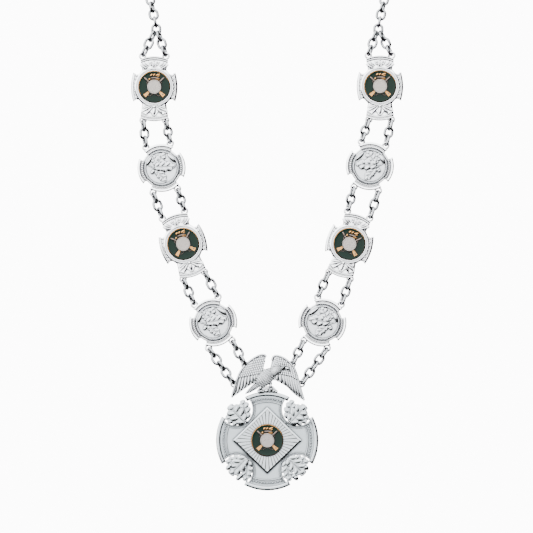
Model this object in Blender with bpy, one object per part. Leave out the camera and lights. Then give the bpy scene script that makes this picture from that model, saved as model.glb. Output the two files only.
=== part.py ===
"""Chain of office: a cross pendant with an eagle, held by eight plaques on short double
chains, and a single chain each side that runs over the shoulders to a ring at the nape.
It hangs flat in the XZ plane, its front faces -Y, and the ring's centre is the origin."""

import math

import bmesh
import bpy
from mathutils import Matrix, Vector

MM = 0.001
gap = 0.3 * MM

# The whole collar
neck_to_pendant = 514 * MM
collar_spread = 88 * MM
collar_height = 276 * MM

# Plates and their relief
plate_back = 1.0 * MM
plate_front = -1.0 * MM
relief = 0.8 * MM
sunk = 0.3 * MM
moulding_inset = 0.2 * MM
moulding_end_deg = 1.2

# Chain
wire = 1.7 * MM
link_width = 8.2 * MM
bite = 0.25 * MM
link_sides = 10
wire_sides = 5
strand_roll_deg = 20
yoke_ring_stretch = 1.2 * MM
yoke_hang = (0.5, 0.55)
yoke_rise = 20.4 * MM
yoke_across = 0.985

# Ears that carry the chain
ear_radius = 3.0 * MM
ear_hole = 1.65 * MM
ear_sides = 6

# Inlay: the roundel, its emblem and the plain disc
roundel_radius = 12.5 * MM
rim_width = 0.7 * MM
rim_height = 0.5 * MM
roundel_thickness = 1.0 * MM
emblem_thickness = 0.6 * MM
disc_radius = 5.5 * MM
disc_thickness = 0.6 * MM
rifle_reach = 10.4 * MM
rifle_cross_deg = 47
rifle_root = 4.7 * MM
round_sides = 15
disc_sides = 9

# Enamel plaque
enamel_half_width = 18.2 * MM
enamel_arm_bow = 1.8 * MM
enamel_arm_height = 22.6 * MM
enamel_neck = 9.4 * MM
enamel_top = 24.1 * MM
enamel_bottom = 26.8 * MM
bar_half_length = 10.7 * MM
bar_width = 2.6 * MM
bar_bow = 2.3 * MM
ring_wall = 2.1 * MM
ring_slope = 0.3
moulding_share = 0.6
enamel_notch = (0.86, 0.93)
neck_rise = 0.1
top_fan_share = 0.92
low_fan_share = 0.88
fan_foot = 0.28
fan_valley = 0.74
fan_bow = 0.42
fan_spread = 0.8

# Oak plaque
oak_radius = 18.7 * MM
oak_waist = 15.4 * MM
medallion_radius = 13.2 * MM
medallion_rim = 1.2 * MM
medallion_thickness = 1.4 * MM
arm_band = 2.3 * MM

# Pendant
cross_radius = 40 * MM
cross_top = 0.95 * cross_radius
cross_bottom = 0.9825 * cross_radius
cross_back = 1.25 * MM
cross_front = -1.25 * MM
cross_rim = 3.7 * MM
cross_rim_taper_deg = 3
cross_arm_deg = 27.5
bay_offset = 0.855 * cross_radius
bay_radius = 0.315 * cross_radius
lozenge_half_width = 0.675 * cross_radius
lozenge_half_height = 0.655 * cross_radius
lozenge_rise = 1.6 * MM
lozenge_ray_inset = 0.97
spray_foot = 0.5025 * cross_radius
leaf_thickness = 1.0 * MM
leaf_length = 0.475 * cross_radius
leaf_width = 0.275 * cross_radius
leaf_step = 0.1 * MM

# Eagle
eagle_span = 56.4 * MM
eagle_height = 28.5 * MM
eagle_body_depth = 3.6 * MM
eagle_head = 2.6 * MM
eagle_egg_back = 0.6 * MM

# Ring at the nape
back_ring_radius = 10.1 * MM
back_ring_wire = 3.8 * MM
back_ring_sides = 12
back_ring_wire_sides = 6
back_chain_lands_deg = -27

# Side, number, kind, spread as a share of collar_spread, height over the pendant's centre
# as a share of collar_height, and lean of the top towards -X in degrees
plaque_places = [
    ("left", 1, "enamel", -1.002, 0.999, 0),
    ("left", 2, "oak", -0.937, 0.770, 9),
    ("left", 3, "enamel", -0.746, 0.555, 18.5),
    ("left", 4, "oak", -0.479, 0.333, 18),
    ("right", 1, "enamel", 1.000, 1.001, 0),
    ("right", 2, "oak", 0.910, 0.775, -9.3),
    ("right", 3, "enamel", 0.728, 0.555, -17.5),
    ("right", 4, "oak", 0.489, 0.333, -17.8),
]

# Ears on an enamel plaque: across as a share of bar_half_length, along as a share of the
# plaque's reach at that end
enamel_ears = {"top": (0.85, 1.0), "bottom": (0.82, 0.965)}
oak_ear_deg = 28.3

# Rifles: degrees from the barrel's or the butt's middle line and reach as a share of
# rifle_reach, where None is rifle_root. Hat: across and up as shares of rifle_reach
rifle_barrel = [(-9, None), (-5, 0.6), (0, 1), (5, 0.6), (9, None)]
rifle_butt = [(-9, None), (-10, 1), (10, 1), (9, None)]
hat = [
    (0.38, 0.47), (0.54, 0.56), (0.36, 0.70), (0.58, 0.90), (0.04, 1.04), (-0.36, 0.94),
    (-0.30, 0.70), (-0.50, 0.62),
]

# Arms of the oak plaque: the middle's direction and half the span, in degrees
oak_arms = [(0, 32), (90, 38.5), (180, 32), (270, 38.5)]

# Eyes on the wings: across as a share of eagle_span, up as a share of eagle_height
wing_eyes = {
    "left_outer": (-0.462, 0.200),
    "left_inner": (-0.308, 0.712),
    "right_outer": (0.474, 0.208),
    "right_inner": (0.347, 0.742),
}

# Outline of a wing from its root, the same shares as the eyes
left_wing = [
    (-0.491, -0.175), (-0.454, 0.101), (-0.386, 0.479), (-0.311, 0.701), (-0.227, 0.847),
    (-0.120, 0.973), (-0.057, 1.000), (-0.015, 0.942), (-0.062, 0.710), (-0.025, 0.500),
    (-0.060, 0.300), (-0.174, 0.238), (-0.332, 0.038),
]
right_wing = [
    (0.509, -0.255), (0.440, 0.227), (0.376, 0.627), (0.303, 0.795), (0.228, 0.910),
    (0.133, 0.973), (0.080, 0.942), (0.040, 0.640), (0.020, 0.380), (0.123, 0.290),
    (0.282, 0.101), (0.387, -0.107),
]
tail = [(-0.150, 0.320), (-0.311, -0.090), (-0.225, -0.030), (-0.130, 0.080), (-0.040, 0.250)]
rock = [
    (-0.150, 0.0), (-0.120, 0.080), (-0.050, 0.110), (0.020, 0.150), (0.080, 0.140),
    (0.120, 0.060), (0.150, 0.0),
]

# Lobed oak leaf: along as a share of its length, half width as a share of its width
oak_leaf = [
    (0.0, 0.06), (0.30, 0.40), (0.40, 0.22), (0.60, 0.50), (0.70, 0.27), (0.84, 0.34),
    (1.0, 0.0),
]
small_leaf = [(0.0, 0.08), (0.40, 0.46), (0.52, 0.28), (0.76, 0.44), (1.0, 0.0)]

# Leaves of the oak spray on a medallion: outline, length as a share of medallion_radius,
# width as a share of the length, direction in degrees, height as a share of relief
medallion_foot = (-0.42, -0.12)
medallion_leaves = [
    (oak_leaf, 1.22, 0.62, 12, 1.0),
    (small_leaf, 1.04, 0.49, 74, 0.8),
    (small_leaf, 0.95, 0.46, -38, 0.6),
]

# Leaves in a bay of the cross: outline, length and width as shares of leaf_length and
# leaf_width, direction in degrees, height as a share of leaf_thickness
bay_leaves = [
    (oak_leaf, 1, 1, 45, 1.0),
    (small_leaf, 0.78, 0.8, 78, 0.8),
    (small_leaf, 0.78, 0.8, 12, 0.9),
]

# Rounded bodies of the eagle: half length, half depth and half width as shares of
# eagle_head, eagle_body_depth and eagle_head, lean in degrees, place, segments and rings
eagle_bodies = [
    (3.75, 1.0, 2.35, 44, (-0.024, 0.370), 8, 5),
    (2.5, 0.9, 1.35, 33, (0.112, 0.555), 6, 4),
    (1.25, 1.0, 0.95, -20, (0.208, 0.640), 6, 4),
    (1.1, 0.5, 0.5, -32, (0.270, 0.600), 5, 3),
    (1.2, 0.6, 0.6, 75, (-0.090, 0.100), 5, 3),
    (1.2, 0.6, 0.6, 80, (0.050, 0.180), 5, 3),
]

# The hidden chain's points between the ring over the top plaque and the ring at the nape:
# across as a share of collar_spread, up as a share of the way between the two
back_route = [(1.085, 0.224), (1.085, 0.455), (0.940, 0.687), (0.590, 0.883)]


def clear_scene():
    for item in list(bpy.data.objects):
        bpy.data.objects.remove(item)


def material(name, colour, metallic, roughness):
    made = bpy.data.materials.new(name)
    made.use_nodes = True
    shader = made.node_tree.nodes["Principled BSDF"]
    shader.inputs["Base Color"].default_value = (*colour, 1)
    shader.inputs["Metallic"].default_value = metallic
    shader.inputs["Roughness"].default_value = roughness
    made.diffuse_color = (*colour, 1)
    return made


def object_from(name, shape):
    """An object in the scene from a bmesh, which is freed."""
    bmesh.ops.recalc_face_normals(shape, faces=shape.faces)
    mesh = bpy.data.meshes.new(name)
    shape.to_mesh(mesh)
    shape.free()
    made = bpy.data.objects.new(name, mesh)
    bpy.context.scene.collection.objects.link(made)
    return made


def arc(radius, start_deg, end_deg, steps, centre=(0, 0)):
    """Points on an arc in the XZ plane, counted from +X towards +Z. No steps give the start."""
    points = []
    for step in range(steps + 1):
        angle = math.radians(start_deg + (end_deg - start_deg) * step / max(steps, 1))
        points.append((centre[0] + radius * math.cos(angle), centre[1] + radius * math.sin(angle)))
    return points


def plate(name, outline, back, front):
    """A flat piece with this outline, from the depth back to the depth front."""
    shape = bmesh.new()
    corners = [shape.verts.new((x, back, z)) for x, z in outline]
    face = shape.faces.new(corners)
    pushed = bmesh.ops.extrude_face_region(shape, geom=[face])["geom"]
    moved = [part for part in pushed if isinstance(part, bmesh.types.BMVert)]
    bmesh.ops.translate(shape, verts=moved, vec=(0, front - back, 0))
    return object_from(name, shape)


def turned(name, profile, steps):
    """A solid turned round the Y axis from (radius, depth) points that start and end on it."""
    shape = bmesh.new()
    points = [shape.verts.new((radius, depth, 0)) for radius, depth in profile]
    edges = [shape.edges.new(pair) for pair in zip(points, points[1:])]
    if profile[0][0] > 0:
        edges.append(shape.edges.new((points[-1], points[0])))
    bmesh.ops.spin(
        shape, geom=points + edges, cent=(0, 0, 0), axis=(0, 1, 0), angle=math.tau, steps=steps,
        use_merge=True, use_duplicate=False,
    )
    bmesh.ops.remove_doubles(shape, verts=shape.verts, dist=0.001 * MM)
    return object_from(name, shape)


def ellipsoid(name, half_sizes, segments, rings):
    shape = bmesh.new()
    bmesh.ops.create_uvsphere(shape, u_segments=int(segments), v_segments=int(rings), radius=1)
    bmesh.ops.scale(shape, verts=shape.verts, vec=half_sizes)
    return object_from(name, shape)


def baked(item):
    """The item's evaluated mesh as its own, with its place in the mesh."""
    bpy.context.view_layer.update()
    graph = bpy.context.evaluated_depsgraph_get()
    mesh = bpy.data.meshes.new_from_object(item.evaluated_get(graph))
    mesh.transform(item.matrix_world)
    item.modifiers.clear()
    item.data = mesh
    item.matrix_world = Matrix()
    return item


def combined(item, tools, operation="UNION", solver="EXACT"):
    """Joins the tools to the item, or cuts them from it, and removes them. Ears and links take
    the MANIFOLD solver, because EXACT leaves open edges where such small faces cross."""
    for tool in tools:
        step = item.modifiers.new(operation.title(), "BOOLEAN")
        step.operation = operation
        step.object = tool
        step.solver = solver
    baked(item)
    for tool in tools:
        bpy.data.objects.remove(tool)
    return item


def placed(item, matrix):
    item.matrix_world = matrix @ item.matrix_world
    return baked(item)


def copy_of(item, name, matrix, finish):
    """A node with this name that shares no mesh, at this place."""
    mesh = item.data.copy()
    mesh.transform(matrix)
    if matrix.determinant() < 0:
        mesh.flip_normals()
    made = bpy.data.objects.new(name, mesh)
    bpy.context.scene.collection.objects.link(made)
    mesh.materials.clear()
    mesh.materials.append(finish)
    mesh.name = name
    return made


def remove(item):
    bpy.data.objects.remove(item)


def leaning(place, lean_deg):
    return Matrix.Translation((place[0], 0, place[1])) @ Matrix.Rotation(
        math.radians(-lean_deg), 4, "Y"
    )


def ear(name, centre):
    lug = turned(name, [(0, plate_back), (ear_radius, plate_back), (ear_radius, plate_front),
                        (0, plate_front)], ear_sides)
    return placed(lug, Matrix.Translation((centre[0], 0, centre[1])))


def ear_cutter(name, centre):
    deep = 4 * (plate_back - plate_front)
    hole = turned(name, [(0, deep), (ear_hole, deep), (ear_hole, -deep), (0, -deep)], ear_sides)
    return placed(hole, Matrix.Translation((centre[0], 0, centre[1])))


def with_ears(item, centres):
    combined(item, [ear("lug", centre) for centre in centres], solver="MANIFOLD")
    holes = [ear_cutter("hole", centre) for centre in centres]
    return combined(item, holes, "DIFFERENCE", "MANIFOLD")


# Enamel plaque


def enamel_ear_centres():
    centres = {}
    for end, (across, along) in enamel_ears.items():
        reach = enamel_top if end == "top" else -enamel_bottom
        centres[end, "left"] = (-across * bar_half_length, along * reach)
        centres[end, "right"] = (across * bar_half_length, along * reach)
    return centres


def bar_outline(height, width):
    """A bowed bar across the plaque, its crown at this height, on the side away from Z zero."""
    way = math.copysign(1, height)
    steps = 4
    outer = []
    inner = []
    for step in range(steps + 1):
        share = 2 * step / steps - 1
        drop = bar_bow * share ** 2
        outer.append((share * bar_half_length, height - way * drop))
        inner.append((share * bar_half_length, height - way * (drop + width)))
    return outer + inner[::-1]


def enamel_outline():
    """Right half from the top bar down the arm to the bottom bar, then its mirror."""
    arm = enamel_arm_height / 2
    bow_radius = (arm ** 2 + enamel_arm_bow ** 2) / (2 * enamel_arm_bow)
    bow_deg = math.degrees(math.asin(arm / bow_radius))
    side = arc(bow_radius, bow_deg, -bow_deg, 4, (enamel_half_width - bow_radius, 0))
    ring_outer = roundel_radius + gap + ring_wall
    neck_meets = math.sqrt(ring_outer ** 2 - enamel_neck ** 2)
    notch = (ring_outer * enamel_notch[0], arm * enamel_notch[1])
    top = bar_outline(enamel_top, bar_width)[2:5]
    bottom = bar_outline(-enamel_bottom, bar_width)[2:5][::-1]
    neck_end = neck_meets + neck_rise * arm
    half = [
        *top,
        (bar_half_length, enamel_top - bar_bow - bar_width),
        (enamel_neck, neck_end),
        notch,
        *side,
        (notch[0], -notch[1]),
        (enamel_neck, -neck_end),
        (bar_half_length, -enamel_bottom + bar_bow + bar_width),
        *bottom,
    ]
    other = [(-x, z) for x, z in half[::-1] if x > 0]
    return half + other


def fan(tip_z, foot_z, half_width, lobes):
    """A palmette from its foot to lobed tips, as shares along an arc of tips."""
    points = [(fan_foot * half_width, foot_z)]
    count = 2 * lobes
    for step in range(count + 1):
        share = 1 - 2 * step / count
        reach = 1.0 if step % 2 else fan_valley
        bowed = foot_z + (tip_z - foot_z) * (1 - fan_bow * share ** 2) * reach
        points.append((share * half_width * (fan_spread + (1 - fan_spread) * reach), bowed))
    points.append((-fan_foot * half_width, foot_z))
    return points


def enamel_plaque():
    """Plate with bowed side arms, a raised ring, two bars, two palmettes and four ears."""
    body = plate("body", enamel_outline(), plate_back, plate_front)
    inner = roundel_radius + gap
    outer = inner + ring_wall
    ring = turned("ring", [(inner, plate_front + sunk), (outer, plate_front + sunk),
                           (outer - ring_slope * ring_wall, plate_front - relief - sunk),
                           (inner, plate_front - relief - sunk)], round_sides)
    raised = plate_front - relief
    into = plate_front + sunk
    foot = outer - ring_wall / 2
    bar = moulding_share * bar_width
    parts = [
        ring,
        plate("top_bar", bar_outline(enamel_top - moulding_inset, bar), into, raised),
        plate("low_bar", bar_outline(moulding_inset - enamel_bottom, bar), into, raised),
        plate("top_fan", fan(enamel_top - bar_width, foot, top_fan_share * bar_half_length, 3),
              into, raised),
        plate("low_fan", fan(bar_width - enamel_bottom, -foot, low_fan_share * bar_half_length, 3),
              into, raised),
    ]
    combined(body, parts)
    return with_ears(body, enamel_ear_centres().values())


# Inlay


def roundel(back):
    rim_front = back - roundel_thickness - rim_height
    field = back - roundel_thickness
    inner = roundel_radius - rim_width
    return turned("inlay", [(0, back), (roundel_radius, back), (roundel_radius, rim_front),
                              (inner, rim_front), (inner, field), (0, field)], round_sides)


def rifle_points(table, middle_deg):
    points = []
    for lean_deg, share in table:
        reach = rifle_root if share is None else share * rifle_reach
        points += arc(reach, middle_deg + lean_deg, 0, 0)
    return points


def emblem_outline():
    """Counted round from the right barrel: barrel, hat, barrel, butt, butt. The roots of the
    rifles lie under the disc."""
    barrel = rifle_points(rifle_barrel, 90 - rifle_cross_deg)
    butt = rifle_points(rifle_butt, -rifle_cross_deg)
    crown = [(x * rifle_reach, z * rifle_reach) for x, z in hat]
    far_barrel = [(-x, z) for x, z in barrel[::-1]]
    far_butt = [(-x, z) for x, z in butt[::-1]]
    return barrel + crown + far_barrel + far_butt + butt


def emblem(back):
    """Two crossed rifles and a plumed hat, in one piece."""
    return plate("emblem", emblem_outline(), back, back - emblem_thickness)


def disc(back):
    front = back - disc_thickness
    return turned("disc", [(0, back), (disc_radius, back), (disc_radius, front), (0, front)],
                  disc_sides)


# Oak plaque


def oak_ear_centres():
    reach = oak_radius + 0.55 * ear_radius
    centres = {}
    for end, upright in (("top", 90), ("bottom", -90)):
        for side, way in (("left", 1), ("right", -1)):
            angle = math.radians(upright + way * oak_ear_deg * math.copysign(1, upright))
            centres[end, side] = (reach * math.cos(angle), reach * math.sin(angle))
    return centres


def band(inner, outer, middle_deg, half_deg, steps, taper_deg=0):
    """Outline of an arc-shaped band, narrower at its inner side by the taper."""
    near_deg = half_deg - taper_deg
    far = arc(outer, middle_deg - half_deg, middle_deg + half_deg, steps)
    near = arc(inner, middle_deg + near_deg, middle_deg - near_deg, steps)
    return far + near


def oak_plaque():
    """Round frame of four arc arms with a raised outer moulding, and four ears."""
    outline = []
    mouldings = []
    for middle_deg, half_deg in oak_arms:
        start = middle_deg - half_deg
        end = middle_deg + half_deg
        outline += arc(oak_waist, start, start, 0) + arc(oak_radius, start, end, 3)
        outline += arc(oak_waist, end, end, 0)
        raised = band(oak_radius - arm_band, oak_radius - moulding_inset, middle_deg,
                      half_deg - moulding_end_deg, 3)
        mouldings.append(plate("moulding", raised, plate_front + sunk, plate_front - relief))
    body = combined(plate("body", outline, plate_back, plate_front), mouldings)
    return with_ears(body, oak_ear_centres().values())


def leaf_outline(lobes, length, width):
    right = [(along * length, half * width) for along, half in lobes]
    left = [(x, -z) for x, z in right[-2::-1]]
    return right + left


def leaf(lobes, length, width, turn_deg, foot, back, front):
    made = plate("leaf", leaf_outline(lobes, length, width), back, front)
    placed(made, Matrix.Translation((foot[0], 0, foot[1]))
           @ Matrix.Rotation(math.radians(-turn_deg), 4, "Y"))
    return made


def oak_medallion():
    """Disc with a raised rim and an oak spray: one leaf along, one upright, one down."""
    back = plate_front - gap
    field = back - medallion_thickness
    inner = medallion_radius - medallion_rim
    body = turned("medallion", [(0, back), (medallion_radius, back),
                                (medallion_radius, field - relief), (inner, field - relief),
                                (inner, field), (0, field)], round_sides)
    foot = [share * medallion_radius for share in medallion_foot]
    leaves = []
    for lobes, length_share, width_share, turn_deg, height in medallion_leaves:
        length = length_share * medallion_radius
        leaves.append(leaf(lobes, length, width_share * length, turn_deg, foot,
                           field + height * sunk, field - height * relief))
    return combined(body, leaves)


# Pendant


def arm_reaches():
    """Right, top, left and bottom."""
    return (cross_radius, cross_top, cross_radius, cross_bottom)


def cross_outline():
    """Four arc-ended arms with a round bay between each pair."""
    points = []
    reaches = arm_reaches()
    for quarter, reach in enumerate(reaches):
        middle = 90 * quarter
        before = arc(reach, middle + cross_arm_deg, 0, 0)[0]
        after = arc(reaches[(quarter + 1) % 4], middle + 90 - cross_arm_deg, 0, 0)[0]
        centre = arc(bay_offset, middle + 45, 0, 0)[0]
        inward = middle + 225
        ends = []
        for corner in (before, after):
            way = math.degrees(math.atan2(corner[1] - centre[1], corner[0] - centre[0]))
            ends.append(inward + (way - inward + 180) % 360 - 180)
        points += arc(reach, middle - cross_arm_deg, middle + cross_arm_deg, 4)
        points += arc(bay_radius, ends[0], ends[1], 6, centre)[1:-1]
    return points


def pendant_cross():
    body = plate("body", cross_outline(), cross_back, cross_front)
    rims = []
    for quarter, reach in enumerate(arm_reaches()):
        outline = band(reach - cross_rim, reach - moulding_inset, 90 * quarter,
                       cross_arm_deg - moulding_end_deg, 3, cross_rim_taper_deg)
        rims.append(plate("rim", outline, cross_front + sunk, cross_front - relief))
    return combined(body, rims)


def pendant_lozenge():
    """Rayed lozenge: a low pyramid edge with a flat round seat for the inlay."""
    seat = roundel_radius + gap
    back = cross_front - gap
    front = back - lozenge_rise
    tips = [(lozenge_half_width, 0), (0, lozenge_half_height), (-lozenge_half_width, 0),
            (0, -lozenge_half_height)]
    outline = []
    for first, second in zip(tips, tips[1:] + tips[:1]):
        for step in range(4):
            share = step / 4
            x = first[0] + (second[0] - first[0]) * share
            z = first[1] + (second[1] - first[1]) * share
            inset = lozenge_ray_inset if step % 2 else 1.0
            outline.append((x * inset, z * inset))
    body = plate("body", outline, back, front)
    well = turned("well", [(0, back - sunk), (seat, back - sunk), (seat, 4 * front), (0, 4 * front)],
                  round_sides)
    return combined(body, [well], "DIFFERENCE")


def leaf_spray():
    """Oak leaves that fan out from the foot of a bay, for the bay at the upper right."""
    back = cross_front - gap
    front = back - leaf_thickness
    foot = arc(spray_foot, 45, 0, 0)[0]
    leaves = []
    for index, (lobes, length, width, turn_deg, height) in enumerate(bay_leaves):
        leaves.append(leaf(lobes, length * leaf_length, width * leaf_width, turn_deg, foot,
                           back - index * leaf_step, back + height * (front - back)))
    return combined(leaves[0], leaves[1:])


# Eagle


def eagle_point(place):
    return (place[0] * eagle_span, place[1] * eagle_height)


def rounded_body(shares, lean_deg, place, segments, rings):
    """An egg that bulges forward and is shallow behind, within the back plane."""
    length, depth, width = shares
    half_depth = depth * eagle_body_depth
    made = ellipsoid("egg", (length * eagle_head, half_depth, width * eagle_head),
                     segments, rings)
    for vertex in made.data.vertices:
        if vertex.co.y > 0:
            vertex.co.y *= eagle_egg_back / half_depth
    return placed(made, leaning(eagle_point(place), lean_deg))


def eagle():
    """Spread wings, body, turned head, tail and rock in one casting, with four chain eyes."""
    wing_front = plate_front - sunk
    body = plate("body", [eagle_point(place) for place in left_wing], plate_back, wing_front)
    parts = [
        plate("right", [eagle_point(place) for place in right_wing], plate_back, wing_front),
        plate("tail", [eagle_point(place) for place in tail], plate_back - leaf_step, plate_front),
        plate("rock", [eagle_point(place) for place in rock], plate_back - 2 * leaf_step,
              plate_front - relief),
    ]
    for length, depth, width, lean_deg, place, segments, rings in eagle_bodies:
        parts.append(rounded_body((length, depth, width), lean_deg, place, segments, rings))
    combined(body, parts)
    return with_ears(body, [eagle_point(place) for place in wing_eyes.values()])


# Chain


def wire_reach():
    """From a link's wire centre to its touch point on the wire of the next link."""
    return wire / 2 * math.cos(math.pi / wire_sides)


def link(name, end_to_end):
    """A ring of wire whose halves are drawn apart along X to the length between wire centres."""
    shape = bmesh.new()
    across = (link_width - wire) / 2
    rings = []
    for step in range(link_sides):
        angle = math.tau * step / link_sides
        way = Vector((math.cos(angle), 0, math.sin(angle)))
        loop = []
        for side in range(wire_sides):
            turn = math.tau * (side + 0.5) / wire_sides
            reach = way * (across + wire / 2 * math.cos(turn))
            loop.append(shape.verts.new(reach + Vector((0, wire / 2 * math.sin(turn), 0))))
        rings.append(loop)
    for first, second in zip(rings, rings[1:] + rings[:1]):
        for side in range(wire_sides):
            after = (side + 1) % wire_sides
            shape.faces.new((first[side], second[side], second[after], first[after]))
    stretch = end_to_end / 2 - across
    for vertex in shape.verts:
        vertex.co.x += math.copysign(stretch, vertex.co.x)
    return object_from(name, shape)


def strand(name, start, end, finish, roll_deg=strand_roll_deg):
    """An odd number of interlocked links in one body, as many as fit without being narrower
    along than across. Start and end are the centres of the holes they hang in."""
    way = Vector((end[0] - start[0], 0, end[1] - start[1]))
    slack = ear_hole * math.cos(math.pi / ear_sides) - wire / 2 - gap
    length = way.length - 2 * slack
    overlap = 2 * wire_reach() - bite
    fitting = int((length - overlap) / (link_width - wire - overlap))
    count = max(1, fitting - (fitting + 1) % 2)
    end_to_end = (length + (count - 1) * overlap) / count
    step = end_to_end - overlap
    along = Matrix.Rotation(-math.atan2(way.z, way.x), 4, "Y")
    links = []
    for index in range(count):
        made = link("link", end_to_end)
        middle = slack + end_to_end / 2 + index * step
        turn = (90 if index % 2 == 0 else 0) - roll_deg
        placed(made, Matrix.Translation((start[0], 0, start[1])) @ along
               @ Matrix.Translation((middle, 0, 0)) @ Matrix.Rotation(math.radians(turn), 4, "X"))
        links.append(made)
    if links[1:]:
        combined(links[0], links[1:], solver="MANIFOLD")
    links[0].name = name
    links[0].data.materials.clear()
    links[0].data.materials.append(finish)
    return links[0]


def yoke_ring_length():
    """Between the wire centres at the ring's top and foot."""
    return link_width - wire + yoke_ring_stretch


def yoke_centre(side):
    """The ring's centre, over the top of the first plaque."""
    up = collar_height + enamel_top + yoke_rise
    return (side * yoke_across * collar_spread, up - neck_to_pendant)


def route_points(side):
    """The hidden chain's centre line, read from a smooth curve through the chosen points. It
    ends a gap away from the yoke's ring and from the ring at the nape."""
    x, z = yoke_centre(side)
    foot = z + yoke_ring_length() / 2 + wire_reach() + gap
    points = [Vector((x, 0, foot))]
    for across, up in back_route:
        points.append(Vector((side * across * collar_spread, 0, (1 - up) * foot)))
    x, z = arc(back_ring_radius + back_ring_wire / 2 + gap, back_chain_lands_deg, 0, 0)[0]
    points.append(Vector((side * x, 0, z)))
    steps = 2
    ends = [2 * points[0] - points[1], *points, 2 * points[-1] - points[-2]]
    line = []
    for index in range(1, len(ends) - 2):
        before, here, there, after = ends[index - 1:index + 3]
        for step in range(steps):
            t = step / steps
            line.append(0.5 * (2 * here + (there - before) * t
                               + (2 * before - 5 * here + 4 * there - after) * t ** 2
                               + (3 * here - before - 3 * there + after) * t ** 3))
    line.append(points[-1])
    return line


def back_chain(name, side, finish):
    """The hidden chain as a plain tube as thick as its links are wide."""
    curve = bpy.data.curves.new(name, "CURVE")
    curve.dimensions = "3D"
    curve.bevel_depth = link_width / 2
    curve.bevel_resolution = 2
    curve.use_fill_caps = True
    line = route_points(side)
    spline = curve.splines.new("POLY")
    spline.points.add(len(line) - 1)
    for point, place in zip(spline.points, line):
        point.co = (*place, 1)
    curve.materials.append(finish)
    made = bpy.data.objects.new(name, curve)
    bpy.context.scene.collection.objects.link(made)
    return made


def back_ring(finish):
    shape = bmesh.new()
    for side in range(back_ring_wire_sides):
        turn = math.tau * side / back_ring_wire_sides
        shape.verts.new((back_ring_radius + back_ring_wire / 2 * math.cos(turn),
                         back_ring_wire / 2 * math.sin(turn), 0))
    points = list(shape.verts)
    edges = [shape.edges.new(pair) for pair in zip(points, points[1:] + points[:1])]
    bmesh.ops.spin(shape, geom=points + edges, cent=(0, 0, 0), axis=(0, 1, 0), angle=math.tau,
                   steps=back_ring_sides, use_merge=True)
    bmesh.ops.remove_doubles(shape, verts=shape.verts, dist=0.001 * MM)
    made = object_from("back_ring", shape)
    made.data.materials.append(finish)
    return made


def yoke(name, side, starts, finish):
    """Two strands of links from the plaque's top ears that hang from one ring."""
    x, z = yoke_centre(side)
    ring = link("ring", yoke_ring_length())
    placed(ring, Matrix.Translation((x, 0, z)) @ Matrix.Rotation(math.radians(90), 4, "Y"))
    inner = link_width / 2 - wire
    parts = []
    for start, turn in zip(starts, (-1, 1)):
        hang = (x + turn * yoke_hang[0] * inner, z - yoke_hang[1] * inner)
        parts.append(strand("part", start, hang, finish))
    combined(ring, parts, solver="MANIFOLD")
    ring.name = name
    ring.data.materials.clear()
    ring.data.materials.append(finish)
    return ring


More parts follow.
